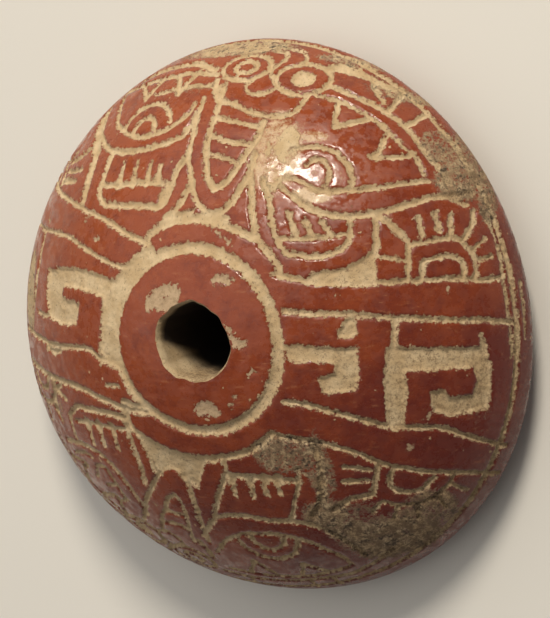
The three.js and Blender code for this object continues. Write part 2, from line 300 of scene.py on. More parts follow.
def draw_left_band():
    carve(0.5, (-4.6, 8.8), (-6, 9.3), (-8, 10), (-10, 10.9), (-12, 11.6), (-14, 12.2), (-16, 12.9),
          (-20, 14.2), (-23, 15.5), (-26, 17))
    carve(0.4, (-6.9, 6.7), (-9, 7), (-12, 8), (-14, 8.7), (-16, 9.5), (-18, 10), (-20, 10.3), (-23, 10.6),
          (-25, 11.1), (-28.5, 11.9))
    carve(0.5, (-8.3, -2.6), (-10, -2.2), (-11.3, -1.7), (-13, -1.1), (-18, -1.2), (-21, -1), (-24.5, -0.5),
          (-29, 0))
    carve(0.5, (-20.4, -1.6), (-19, -1.9), (-17.6, -1.7))
    carve(0.6, (-5.9, -6.9), (-7.4, -6.8), (-9, -6.5), (-12, -5.8), (-15, -5.1), (-18, -4.9), (-21, -4.6),
          (-24.5, -4.1), (-28.5, -3.6))
    carve(0.7, (-6.3, -6.4), (-8.4, -5.9))
    carve_area((-20.2, 6.2), (-16, 6.6), (-12, 6.1), (-8.3, 5.3), (-8.3, 3.9), (-10, 4), (-13, 4.6),
               (-16.8, 4.9), (-16.9, 3.4), (-13.8, 3.1), (-14.2, 1), (-17, 1.2), (-19.6, 1.6), (-20.2, 3))
    carve(0.4, (-19.6, 1.8), (-21, 1.6), (-22.5, 2))
    carve(0.5, (-22.5, 10.4), (-23, 7), (-23.7, 3), (-24.4, 0))
    carve(0.4, (-10.3, -4.5), (-8.8, -4.3))


draw_right_band()
draw_left_band()
print("with the bands:", len(strokes), "strokes")

# %% [markdown]
# ### The upper face
# A fanged face looks in from the rim, with its tongue at the collar, two half-moon eyes with lashes,
# two boxes of teeth and a pair of nostril rings. It takes most of the strokes, so it is drawn in
# small groups.

# %% Draw the upper face's tongue and left half
def draw_upper_tongue():
    carve(0.5, (-1.9, 23), (-2, 21), (-1.9, 19), (-1.8, 17), (-0.9, 14.4), (-0.3, 13), (0.5, 12), (1.3, 11.4))
    carve(0.6, (-1, 14), (-1.8, 12.3), (-3, 11.2))
    carve(0.6, (-0.1, 24.6), (0, 22.3), (-0.1, 18), (0.2, 16.2), (0.8, 14.6), (1.5, 13.8), (2, 13.8),
          (2.6, 14.3), (3.3, 15.5), (4.1, 17), (4.9, 18.7), (5.2, 20.4))
    carve(0.6, (1.6, 11.4), (2.6, 11.6), (3.3, 12.2), (4, 13.5), (4.7, 15.2), (5, 17))
    carve(0.5, (0, 22.7), (1.8, 22.2), (3, 21.6), (4.5, 21.1), (6, 20.9), (7.2, 21), (8.1, 21.6),
          (8.6, 22.5), (9, 23.5))
    carve(0.5, (0.3, 20.8), (2, 20.4), (5, 19.7))
    carve(0.5, (0.2, 19), (1.5, 18.4), (4.4, 17.9))
    carve(0.4, (0.4, 17.1), (2, 16.6), (3.7, 16))


def draw_upper_left_eye():
    carve(0.5, (-15.2, 25.6), (-14, 23.2), (-13.2, 21.6), (-12, 20.8), (-9.5, 19.7), (-8, 19.5),
          (-6.5, 19.7), (-5, 20.1), (-3.2, 21.4), (-2.8, 22.6))
    carve_round(0.5, -8.3, 20.1, 3.2, 3.1, 15, 168)
    carve_round(0.5, -8.4, 20.1, 1.4, 1.5, 0, 180)
    carve(0.6, (-17.5, 25), (-16.2, 22), (-15.5, 20.5), (-13, 18.7), (-9.5, 18), (-5.5, 18.4), (-3, 19.3),
          (-2.1, 21.5))
    carve(1.3, (-17.6, 23.2), (-16.8, 21.5), (-16, 19.9), (-15.4, 18.7))
    carve(0.5, (-15, 26.2), (-12, 26.4), (-9, 26.5), (-5, 26.6), (-1.4, 26))
    carve(0.7, (-13, 27.6), (-11, 28), (-8, 28.2), (-5, 28), (-3.4, 27.4), (-2, 26.7))
    carve_corners(0.5, (-11.8, 26.3), (-10, 24), (-8.8, 26.2))
    carve_corners(0.6, (-6.4, 26.3), (-5.4, 24), (-4.2, 26.3))
    carve(0.4, (-8.6, 24.4), (-6, 24.6), (-3, 24.7), (-0.6, 24.4))


def draw_tooth(across, gum, tip, lean=0.0):
    carve(1.0, (across, gum), (across + lean * 0.1, gum + 0.1))
    carve(0.7, (across, gum), (across + lean * 0.3, gum + (tip - gum) * 0.3))
    carve(0.4, (across + lean * 0.3, gum + (tip - gum) * 0.3), (across + lean, tip))


def draw_upper_left_mouth():
    carve(0.6, (-12.1, 18.2), (-12.4, 16.4), (-12.7, 14.6), (-12.5, 13.7), (-11.8, 13.1), (-10.3, 12.7),
          (-6, 12.4), (-4, 12.3), (-3.2, 13.5), (-2.8, 15.5), (-2, 16.9))
    carve(0.5, (-12.4, 14.9), (-10, 14.6), (-7, 14.7), (-3.3, 14.4))
    carve(1.0, (-3.9, 12.9), (-3.4, 14))
    for across, tip in ((-9.9, 16.9), (-8, 16.8), (-6.2, 16.6), (-4.9, 16.2)):
        draw_tooth(across, 14.7, tip, 0.1)
    carve(1.0, (-15.1, 18.6), (-15.1, 16), (-15.3, 13.4))
    carve(0.5, (-20.6, 16.9), (-17.2, 16.8))
    carve(0.5, (-20.8, 15.8), (-17.9, 15.6))
    carve(0.5, (-20.6, 18.1), (-18.4, 18.4), (-16.8, 19.2))


draw_upper_tongue()
draw_upper_left_eye()
draw_upper_left_mouth()
print("with the tongue and left half:", len(strokes), "strokes")

# %% Draw the upper face's nose and right half
def draw_nose():
    carve_round(0.5, 1.6, 26.8, 2.6, 1.75)
    carve_round(0.5, 1.6, 26.8, 1.15, 0.8)
    carve_round(0.5, 8, 25.3, 2.8, 1.95)
    carve(1.8, (7.7, 25.3), (8.3, 25.3))
    carve(0.4, (4, 30), (4.2, 29.2), (5.2, 28.8), (5.6, 28), (5, 27.2), (4.4, 26), (5.1, 25.1), (5.6, 24.2))
    carve(0.4, (4.8, 29.8), (6.4, 29.3), (7.3, 28.8), (7.7, 27.9), (7.3, 27.1))
    carve(0.4, (2.7, 25), (2.3, 24.3), (2.9, 23.6), (4.2, 23.3), (5.3, 23.9), (5.6, 24.4))
    carve(0.6, (-1.2, 25.2), (-0.9, 23.9), (-0.2, 22.9))


def draw_right_brow():
    carve(0.5, (10.4, 24.8), (12, 24.2), (14, 23.4), (16, 22.6), (18, 21.4), (19.5, 20.2), (20.7, 18.6),
          (22, 17.1), (23.2, 15.8), (23.6, 14.6))
    carve(0.4, (9.6, 23.4), (12, 22.9), (14, 22), (15.5, 21.3), (17, 20.2), (18.5, 18.9), (19.8, 17.8),
          (20.6, 16.8), (21.2, 15.6))
    carve_corners(0.5, (12, 22.4), (12.1, 20), (13, 20.2), (15.2, 21.1))
    carve_corners(0.5, (17.1, 19.6), (16.7, 17.7), (15.8, 17.1), (17.2, 17.1), (19.6, 17.5))
    carve(0.6, (16.9, 22.2), (17.8, 23.6), (18.2, 24.8))
    carve(0.6, (19.1, 20.9), (20.1, 21.8), (20.9, 22.8))
    carve(0.5, (15.1, 25.6), (15.5, 24.6), (16.5, 23.3))
    carve_area((9.6, 26.9), (11.6, 27.9), (13, 27.6), (17.6, 25.3), (17, 24.9), (14.5, 26.1), (12, 26.6))


def draw_upper_right_eye():
    carve(0.4, (8.4, 17.4), (9.6, 17.8), (11.8, 17.7), (13.1, 17))
    carve(0.5, (12.6, 17.4), (13.4, 16.7), (14, 16), (14.4, 15.1), (14.4, 13.9))
    carve(0.4, (10, 16), (10.6, 16.6), (11.3, 16.6), (12, 16), (12.3, 15.2), (12, 14))
    carve(0.4, (8.3, 14.8), (9.4, 14.6), (10.3, 14.1), (11.3, 13.7), (12.6, 13.6))
    carve(0.5, (12.4, 13.6), (13.4, 13.7), (15, 13.8), (17.5, 14.2), (20, 14.7), (21.6, 15))
    carve(0.4, (7.8, 13.9), (8.8, 13.2), (9.9, 12.6))
    carve(0.6, (9.7, 12.7), (10.6, 12.1), (12.2, 11.5), (14.5, 11.3), (17.5, 11.8), (20, 12.6),
          (22, 13.3), (24, 13.6), (26, 14))


def draw_upper_right_mouth():
    carve(0.6, (4.9, 14.8), (5.3, 12.8), (5.6, 11), (5.9, 9.8), (6.6, 8.7), (7.5, 7.8), (8.2, 6.9), (8.5, 6))
    carve(0.5, (6.1, 14.6), (7, 12.6), (7.4, 10.8), (8, 9.2), (9, 8), (10.4, 7.7), (12, 7.6), (14, 8.3),
          (14.6, 9.5), (14.6, 11.2))
    carve(0.4, (8, 9.2), (11, 9.2), (14.4, 9.6))
    for handles in (((8.9, 11.6), (9.3, 10.5), (9.8, 9.4)), ((10.4, 10.9), (11.3, 9.4)),
                    ((12, 10.8), (12.9, 9.5))):
        carve(0.5, *handles)


draw_nose()
draw_right_brow()
draw_upper_right_eye()
draw_upper_right_mouth()
print("with the upper face:", len(strokes), "strokes")

# %% [markdown]
# ### The lower face
# The lower face is the upper one's partner, turned half round. Its nose and one of its brows are out
# of sight, so they repeat the upper face's strokes, turned round the hole.

# %% Draw the lower face's tongue and left half
def draw_lower_tongue():
    carve(0.5, (-5.6, -12.8), (-7, -14), (-8.5, -15.7), (-10, -17.3), (-10.8, -18.4), (-12.2, -20.4))
    carve(0.5, (-5.6, -12.8), (-4.6, -12.6), (-3.8, -13.3), (-3.4, -14.5), (-3.4, -17), (-3.7, -19),
          (-3.9, -22))
    carve(0.4, (-5.5, -15.9), (-6.8, -16.7), (-7.6, -18), (-8.8, -19.3), (-9.9, -21.2))
    carve(0.4, (-5.5, -15.9), (-5.1, -17.5), (-5.3, -19), (-5.8, -20.7), (-6.1, -22.5))
    carve(0.4, (-7.8, -18.2), (-5.2, -18.7))
    carve(0.4, (-9, -20), (-7, -20), (-5.9, -20.8))
    carve_area((-7.4, -9.6), (-4, -11), (-0.4, -11.4), (-2.3, -14.8), (-3.2, -14.2), (-4, -12.9),
               (-5.3, -12.5), (-6.7, -13.2))


def draw_lower_left_mouth():
    carve(0.6, (-18, -8.6), (-17.3, -8), (-16, -7.3), (-14, -7.3), (-11, -7.4), (-9.2, -7.7), (-8.5, -8.6))
    carve(0.4, (-17, -8.9), (-14, -8.8), (-9, -8.9))
    for across, foot in ((-14.9, -11.2), (-13.1, -11.3), (-11.1, -11.3)):
        draw_tooth(across, -8.9, foot)
    carve(0.6, (-9, -8.4), (-8.8, -11), (-8.7, -13), (-9, -15))
    carve(0.4, (-18.1, -8.8), (-18.2, -11.4))
    carve(0.5, (-18.5, -5.4), (-20, -6), (-20.5, -7), (-20.7, -9))
    carve(0.5, (-7.6, -9), (-7.2, -11), (-6.9, -13.3))


def draw_lower_left_eye():
    carve(0.5, (-21, -11.9), (-17, -11.7), (-15.5, -12), (-14, -12.6), (-12.7, -14), (-11.8, -15.8),
          (-11.2, -17.5), (-11, -19.4))
    carve(0.4, (-20, -13.3), (-18, -12.8), (-16.5, -13))
    carve(0.4, (-17, -15.6), (-16, -14), (-14.6, -14.1), (-14, -15.5), (-13.5, -17.6))
    carve(0.4, (-15.8, -16.5), (-13.8, -16))
    carve(0.4, (-15, -18.6), (-13.2, -17.8))


draw_lower_tongue()
draw_lower_left_mouth()
draw_lower_left_eye()
print("with the lower left half:", len(strokes), "strokes")

# %% Draw the lower face's right half
def draw_lower_right_mouth():
    carve(0.5, (1.5, -11.4), (1.2, -13), (0.3, -14.5), (-0.7, -16.3), (-1.8, -18.4))
    carve(0.5, (1.2, -12.9), (3, -13), (5.5, -13.1), (8, -13.5))
    for across, tip in ((1.7, -15.3), (3.5, -15.4), (4.9, -15), (6.2, -14.9)):
        draw_tooth(across, -13.2, tip, -0.1)
    carve(0.4, (8.2, -12), (7.9, -14), (7.1, -16.2), (6.3, -18.2))
    carve(0.7, (10.2, -9.8), (10.3, -12), (10.1, -14), (9.6, -16), (8.6, -17.6))
    carve(0.5, (-4.2, -21.2), (-3, -19.8), (-1.6, -18.4), (0, -17.9), (2, -17.8), (4, -18.2), (6, -18.2),
          (8, -18.6), (9.5, -19.6), (10.8, -21), (12.2, -23.4))


def draw_lower_right_eye():
    carve(0.4, (-3.7, -23.6), (-2, -21.8), (-0.6, -20.8), (1, -20.2), (3, -20), (5, -20.1), (7, -20.8),
          (8.5, -22), (10, -23.5), (10.5, -25))
    carve_round(0.4, 3, -20.5, 3.2, 3.2, 185, 355)
    carve_round(0.5, 3.2, -20.4, 1.7, 1.9, 185, 355)
    carve_corners(0.4, (-1.1, -26.8), (0.3, -24.3), (1.9, -26.6))
    carve_corners(0.4, (4.8, -26.7), (5.7, -24.4), (7.9, -25.9))
    carve(0.4, (-3.5, -26.5), (0, -27), (4, -27), (7, -26.4), (10, -25.3))
    carve(0.4, (-5, -27.4), (-2, -28), (2, -28.1), (6, -27.6), (10, -26.7), (13, -24.8), (15, -23))
    for top, foot in (((-1.9, -28), (-2.2, -30)), ((5.2, -27.8), (5.3, -30)), ((7.6, -27.2), (8.2, -29.4))):
        carve(0.4, top, foot)


draw_lower_right_mouth()
draw_lower_right_eye()
repeat_turned(draw_nose, 166)
repeat_turned(draw_right_brow, 171)
print("with the lower face:", len(strokes), "strokes")

# %% [markdown]
# ### The shell fans
# In the corners between bands and faces sit little fans: two half rings with short rays. The two on
# the right are drawn as they show. The two on the left are almost out of sight and drawn by one rule.

# %% Draw the fans
def draw_upper_right_fan():
    carve(0.6, (17, 11.5), (18.3, 10.5), (19.3, 9.6), (20.2, 8.5))
    carve(0.6, (16.9, 11.4), (17, 9), (16.9, 7.2))
    carve(0.4, (17, 7.6), (19.8, 7))
    carve(0.5, (20, 8.5), (19.9, 5.2))
    carve(0.5, (20.2, 8.6), (22, 8.9), (24.2, 9.2), (25.2, 8.7), (26, 7.8), (26.4, 6.7), (26.3, 5.2))
    carve(0.5, (21.3, 5.2), (21.3, 6.8), (22.3, 7.2), (23.8, 7.4), (24.9, 6.9), (25.2, 6), (25.1, 5.2))
    carve(0.5, (20.8, 11.2), (21.3, 9.4))
    carve(0.6, (22.4, 11.7), (22.9, 9.9))
    carve(0.5, (23.9, 11.5), (24, 9.3))
    carve(0.6, (26.3, 12), (26.2, 10.9), (25.4, 9.2))
    carve(0.4, (27.5, 9.2), (26.2, 8))
    carve(0.4, (28.1, 7.3), (26.4, 6.8))
    carve(0.4, (25.5, 12.6), (24, 13.3))


def draw_lower_right_fan():
    carve(0.5, (15.5, -12.2), (14.9, -14), (14.4, -15.6))
    carve(0.5, (16.7, -12.9), (16.2, -14.2), (16.4, -15.2), (17.5, -15.8), (19, -15.7), (20.3, -14.7))
    carve(0.4, (12.3, -12.2), (14.6, -12.8))
    carve(0.4, (12, -13.8), (14.3, -13.9))
    carve(0.6, (10.6, -17), (12, -16), (14, -15.5))
    carve(0.4, (15.2, -16.5), (17, -17.3), (19.5, -17.2), (21.5, -15.9), (22.3, -14.9))
    for inner, outer in (((15.2, -16.4), (14, -17.7)), ((16.5, -17.2), (15.9, -18.8)),
                         ((18.3, -17.6), (18.2, -19.2)), ((20.3, -17), (20.9, -18.7)),
                         ((21.9, -16), (23.2, -17.2))):
        carve(0.4, inner, outer)


def draw_plain_fan(x, y, toward):
    carve_round(0.5, x, y, 1.8, 1.8, toward - 90, toward + 90)
    carve_round(0.5, x, y, 3.3, 3.3, toward - 90, toward + 90)
    for spread in (-76, -38, 0, 38, 76):
        turn = math.radians(toward + spread)
        carve(0.5, *((x + reach * math.cos(turn), y + reach * math.sin(turn)) for reach in (4, 5.6)))


draw_upper_right_fan()
draw_lower_right_fan()
draw_plain_fan(-24.6, 15.9, 76)
draw_plain_fan(-23.2, -4.6, 262)
print("all:", len(strokes), "strokes")

# %% [markdown]
# ### Chips and scratches
# The slip has flaked at the hole's edge and in a few spots on the disc, and small knicks and
# scratches dot the bands. They are shallower than the carving and have ragged outlines.

# %% Draw the chips
def draw_chips():
    chip(1.3, (-4.1, 3.4), (-3.4, 4.2), (-2.3, 4.6), (-1.3, 4.4))
    chip(1.3, (-3, 3.3), (-2.4, 3.5), (-1.6, 3.9))
    chip(1.0, (3.9, 0.4), (4.4, -0.1), (5, -0.2))
    chip(0.5, (3.6, 1.4), (4, 0.6))
    chip(1.0, (2.7, 5.6), (3.7, 5.5))
    chip(1.3, (0.3, -6.2), (0.9, -5.9), (1.6, -6.3))
    chip(0.3, (2, 9.8), (3, 9.2), (3.9, 8.6))
    chip(0.3, (3.8, -4.7), (3.4, -5.8))
    chip(0.3, (5.3, -3), (5.7, -2.5))
    chip(0.5, (8.9, -12.6), (9.1, -13))
    chip(0.5, (-12, 9.4), (-11.8, 9.5))
    chip(0.5, (-22.4, 11.8), (-22, 11.4))
    chip(0.4, (-14.1, 11.4), (-13.8, 11.9))
    chip(0.4, (20.4, -8.3), (20.7, -7.9))
    chip(0.4, (18.2, -11.2), (18.5, -10.8))
    chip(0.3, (23.6, 4.2), (23.7, 4))
    chip(0.3, (13.4, 3.9), (13.6, 3.6))


draw_chips()
print("chips:", len(chips))

# %% [markdown]
# ## The strokes as guides
# The nodes measure how far each spot of clay lies from the nearest stroke. Curves could hold the
# strokes too, but edges are quicker to measure to. So the strokes become one mesh of loose edges on the
# flat sheet, and each point keeps the number of its gouge.

# %% Make the guide mesh
def guide_object(name, drawn):
    points, edges, groups = [], [], []
    for width, path in drawn:
        nearest = min(range(len(GOUGES)), key=lambda i: abs(GOUGES[i] - width))
        first = len(points)
        points += [(x, y, 0.0) for x, y in path]
        edges += [(first + i, first + i + 1) for i in range(len(path) - 1)]
        groups += [nearest] * len(path)
    data = bpy.data.meshes.new(name)
    data.from_pydata(points, edges, [])
    data.attributes.new("gouge", "INT", "POINT").data.foreach_set("value", groups)
    return in_scene(name, data)


carving_guides = guide_object("carving_guides", strokes)
chip_guides = guide_object("chip_guides", chips)
print("guide points:", len(carving_guides.data.vertices))

# %% [markdown]
# ## The blank
# The blank is a flat sheet of triangles: rings of points round the hole, six more points in each
# ring than in the last, so that all triangles come out the same size. A sheet of squares would be
# coarse at the rim and waste points at the hole. Past the dome's edge the rings go on for the flank,
# the base and the wall of the hole, with fewer points where nothing is carved.

# %% Make the flat blank
MORE_EACH_RING = 6
FLANK_RINGS = 12
BASE_RINGS = ((1.0, 2), (4.0, 4), (8.0, 8))
WALL_RINGS = 40


def blank_rings():
    spacing = DOME_WAY / DOME_RINGS
    full = MORE_EACH_RING * DOME_RINGS
    base_start = DOME_WAY + FLANK_WAY
    bore_start = base_start + BORE_WAY
    rings = [(n * spacing, MORE_EACH_RING * n) for n in range(LIP_RING, DOME_RINGS + 1)]
    rings += [(DOME_WAY + FLANK_WAY * i / FLANK_RINGS, full) for i in range(1, FLANK_RINGS + 1)]
    rings += [(base_start + further, full // thinner) for further, thinner in BASE_RINGS]
    last = full // BASE_RINGS[-1][1]
    rings += [(bore_start + WALL_WAY * i / WALL_RINGS, last) for i in range(WALL_RINGS + 1)]
    return rings


def stitch(first, count, other, other_count):
    faces = []
    i = j = 0
    while i < count or j < other_count:
        if j >= other_count or (i < count and (i + 1) / count <= (j + 1) / other_count):
            faces.append((first + i % count, other + j % other_count, first + (i + 1) % count))
            i += 1
        else:
            faces.append((first + i % count, other + j % other_count, other + (j + 1) % other_count))
            j += 1
    return faces


def make_blank():
    rings = blank_rings()
    points, faces, starts = [], [], []
    for way, count in rings:
        starts.append(len(points))
        turns = np.arange(count) / count * 2 * math.pi
        points += list(zip(way * np.cos(turns), way * np.sin(turns), np.zeros(count)))
    for k in range(len(rings) - 1):
        faces += stitch(starts[k], rings[k][1], starts[k + 1], rings[k + 1][1])
    data = bpy.data.meshes.new("blank")
    data.from_pydata(points, [], faces)
    return in_scene("blank", data)


blank = make_blank()
print("blank:", len(blank.data.vertices), "points,", len(blank.data.polygons), "triangles")

# %% [markdown]
# ## Node helper and colours
# Shapes and materials in Blender can both be made of linked nodes. They could be drawn in its editors,
# but written out they can be read and changed here. One function adds a node, sets what is its own and
# links what comes from other nodes. Colours are written as hex, as a paint chart gives them, and are
# made linear for the renderer.

# %% Node helper and colours
MATH, VECTOR_MATH = "ShaderNodeMath", "ShaderNodeVectorMath"
SPLIT, JOIN = "ShaderNodeSeparateXYZ", "ShaderNodeCombineXYZ"
NOISE, IN_SPACE = "ShaderNodeTexNoise", {"noise_dimensions": "3D"}
RANGE, SMOOTHLY = "ShaderNodeMapRange", {"interpolation_type": "SMOOTHSTEP"}
ADD, SUBTRACT, MULTIPLY, DIVIDE, MULTIPLY_ADD = (
    {"operation": name} for name in ("ADD", "SUBTRACT", "MULTIPLY", "DIVIDE", "MULTIPLY_ADD"))
MINIMUM, MAXIMUM, SINE, COSINE, ARCTAN2 = (
    {"operation": name} for name in ("MINIMUM", "MAXIMUM", "SINE", "COSINE", "ARCTAN2"))


def node(tree, kind, settings, inputs=()):
    made = tree.nodes.new(kind)
    for name, value in settings.items():
        setattr(made, name, value)
    for key, value in inputs.items() if isinstance(inputs, dict) else enumerate(inputs):
        if isinstance(value, bpy.types.Node):
            value = next(socket for socket in value.outputs if socket.enabled)
        if isinstance(value, bpy.types.NodeSocket):
            tree.links.new(value, made.inputs[key])
        else:
            made.inputs[key].default_value = value
    return made


def linear(hex_colour):
    parts = [int(hex_colour[i:i + 2], 16) / 255 for i in (0, 2, 4)]
    return [p / 12.92 if p <= 0.04045 else ((p + 0.055) / 1.055) ** 2.4 for p in parts] + [1.0]


print("a middle grey, 808080, is %.3f when linear" % linear("808080")[0])

# %% [markdown]
# ## The finish
# The whorl is earthenware: buff clay under a red-brown slip that was rubbed with a pebble until it
# shone. The eye sees an uneven gloss on the slip, faint streaks along the rubbing and a few worn, pale
# spots, and a dead matt in the cuts, where the clay is open and holds dusty soil. A painted picture
# could be wrapped on it, but patterns made by rule stay sharp from every side. Each one below has its
# cycles for a millimetre, its detail and its roughness. Real grit and dust are too fine to show, so
# they are drawn about a quarter of a millimetre wide.

# %% Choose the colours and patterns
# Besides their own tones, the orange slip paints light on the upper left, the maroon slip and the soiled clay
# and grime paint shade on the lower right, and the hole's colour paints shade inside it.
SLIP_RED, SLIP_ORANGE, SLIP_MAROON, SLIP_THIN = "803A1F", "8E4623", "541D19", "B57C55"
CLAY_BUFF, CLAY_PALE, CLAY_SOIL_AND_SHADE, CLAY_SPECK = "BCA27C", "CFB894", "7F6547", "32271F"
HOLE_PAINTED_SHADE, CLAY_BARE_CHIP, CLAY_GRIME_AND_SHADE = "2E2319", "B0957A", "604B38"
SLIP_IOR = 1.45
SLIP_ROUGHNESS = (0.13, 0.46)
CLAY_ROUGHNESS = 0.93
BUMP_DEPTH = 0.13
PATTERNS = {
    "fray": (2.0, 6.0, 0.85), "coarse": (0.9, 6.0, 0.8), "fine": (4.0, 3.0, 0.7), "bare": (0.35, 5.0, 0.7),
    "fleck": (1.3, 2.0, 0.4), "cloud": (0.16, 6.0, 0.7), "blotch": (0.5, 6.0, 0.75), "clay": (0.6, 5.0, 0.65),
    "soil_and_shade": (2.4, 6.0, 0.9), "speck": (4.0, 5.0, 0.85), "grime_and_shade": (1.3, 6.0, 0.85), "dark": (1.2, 5.0, 0.8),
    "stain": (1.7, 5.0, 0.85), "gloss": (0.9, 4.0, 0.65), "grit": (3.6, 6.0, 0.8), "hollow": (0.8, 2.0, 0.5),
}
RUBBING = (2.6, 4.0, 0.75)
RUBBING_TURN = 1.1
RUBBING_STRETCH = (0.16, 1.0, 0.6)
print("patterns:", len(PATTERNS) + 1)

# %% [markdown]
# ### Where the slip is gone
# The attributes "cut" and "chip" say how far a spot lies from the nearest cut or chip, in millimetres
# and less than nothing inside. The others mark dust, wear and bare clay from 0 to 1, and one worn patch
# also pales the slip under the glare as a painted highlight. Noise is added to each before it is read,
# which frays the edge as a gouge and handling do. A sharp mask would be simpler, but it would look printed.

# %% Find the bare places
def bare_shares(tree, grain, mark):
    fray = node(tree, MATH, MULTIPLY_ADD, (grain["fray"], 1.6, -0.8))
    speckle = node(tree, MATH, MULTIPLY, (grain["coarse"], 0.55))
    speckle = node(tree, MATH, MULTIPLY_ADD, (grain["fine"], 0.45, speckle))
    share = {}
    for name, pattern, low, high, most in (
            ("cut", fray, 0.03, -0.04, 1.0), ("chip", fray, 0.1, -0.1, 0.7),
            ("worn", speckle, 0.94, 1.2, 0.85), ("dust", speckle, 0.98, 1.1, 1.0),
            ("bare", grain["bare"], 0.98, 1.06, 1.0)):
        edge = node(tree, MATH, ADD, (mark[name], pattern))
        share[name] = node(tree, RANGE, SMOOTHLY, (edge, low, high, 0.0, most))
    share["clay"] = node(tree, RANGE, SMOOTHLY, (grain["fleck"], 0.735, 0.76, 0.0, 0.75))
    for name in ("cut", "dust", "bare"):
        share["clay"] = node(tree, MATH, MAXIMUM, (share["clay"], share[name]))
    return share


def laid_over(tree, ground, layers):
    for share, colour in layers:
        mix = node(tree, "ShaderNodeMix", {"data_type": "RGBA"}, {0: share, 6: ground, 7: colour})
        ground = mix.outputs[2]
    return ground


# %% [markdown]
# ### The slip and the clay
# The slip is more orange towards the upper left and maroon towards the lower right, partly the kiln's
# fire clouds and partly painted light and shade, and the pebble left streaks. The clay is pale where it
# is clean and brown where soil stays, darker towards the lower right as painted shade, and the chips are
# a little greyer. The hole's wall is painted dark as shade inside. Each colour is laid over the last, as
# the real layers are.

# %% Mix the slip's and the clay's colours
def slip_colour(tree, grain, mark, place):
    cycles, detail, roughness = RUBBING
    along_stroke = node(tree, "ShaderNodeMapping", {}, {
        "Vector": place, "Rotation": (0.0, 0.0, RUBBING_TURN), "Scale": RUBBING_STRETCH})
    rubbing = node(tree, NOISE, IN_SPACE, {
        "Vector": along_stroke, "Scale": cycles / MM, "Detail": detail, "Roughness": roughness})
    # The cloud slopes across the sheet: more orange on the upper left as painted light, more maroon on the
    # lower right as painted shade, with the kiln's own uneven colour in the noise.
    cloud = node(tree, MATH, ADD, (grain["cloud"], mark["fired"]))
    layers = []
    for pattern, low, high, most, colour in (
            (cloud, 0.95, 1.5, 1.0, SLIP_ORANGE), (cloud, 1.0, 0.55, 0.85, SLIP_MAROON),
            (grain["blotch"], 0.47, 0.66, 0.42, SLIP_MAROON), (rubbing, 0.56, 0.78, 0.4, SLIP_THIN),
            (rubbing, 0.44, 0.26, 0.35, SLIP_MAROON)):
        layers.append((node(tree, RANGE, SMOOTHLY, (pattern, low, high, 0.0, most)), linear(colour)))
    return laid_over(tree, linear(SLIP_RED), layers)


def clay_colour(tree, grain, mark, share):
    # Soil shows more towards the lower right: real soil in the noise, painted shade in the slope.
    soil_and_shade = node(tree, MATH, MULTIPLY_ADD, (mark["fired"], -0.22, grain["soil_and_shade"]))
    part = {}
    for name, pattern, low, high, least, most in (
            ("pale", grain["clay"], 0.38, 0.66, 0.0, 1.0), ("darkened", soil_and_shade, 0.41, 0.56, 0.0, 0.85),
            ("speck", grain["speck"], 0.57, 0.66, 0.0, 0.9), ("grime_and_shade", grain["grime_and_shade"], 0.4, 0.56, 0.25, 0.95),
            ("shaded", mark["fired"], 0.25, 0.65, 1.0, 0.1), ("dark", grain["dark"], 0.52, 0.62, 0.0, 0.85),
            ("stain", grain["stain"], 0.47, 0.62, 0.0, 0.8)):
        part[name] = node(tree, RANGE, SMOOTHLY, (pattern, low, high, least, most))
    # Grime stays in the dusty places, and the shaded part makes it grow towards the lower right as painted
    # shade.
    grime_and_shade = node(tree, MATH, MULTIPLY, (share["dust"], part["grime_and_shade"]))
    grime_and_shade = node(tree, MATH, MULTIPLY, (grime_and_shade, part["shaded"]))
    dark = node(tree, MATH, MULTIPLY, (share["dust"], part["dark"]))
    in_chip = laid_over(tree, linear(CLAY_BARE_CHIP), [(part["stain"], linear(CLAY_SOIL_AND_SHADE))])
    # The last layer darkens the hole's wall as painted shade.
    return laid_over(tree, linear(CLAY_BUFF), [
        (part["pale"], linear(CLAY_PALE)), (part["darkened"], linear(CLAY_SOIL_AND_SHADE)),
        (part["speck"], linear(CLAY_SPECK)), (grime_and_shade, linear(CLAY_GRIME_AND_SHADE)), (dark, linear(CLAY_SPECK)),
        (share["chip"], in_chip), (mark["deep"], linear(HOLE_PAINTED_SHADE))])


# %% [markdown]
# ### The gloss and the material
# Rubbing flattens the slip into shallow hollows that shine unevenly, so its roughness wanders between
# two values and a slow bump breaks up the glare. The clay is rough all over, with grit in its bump.

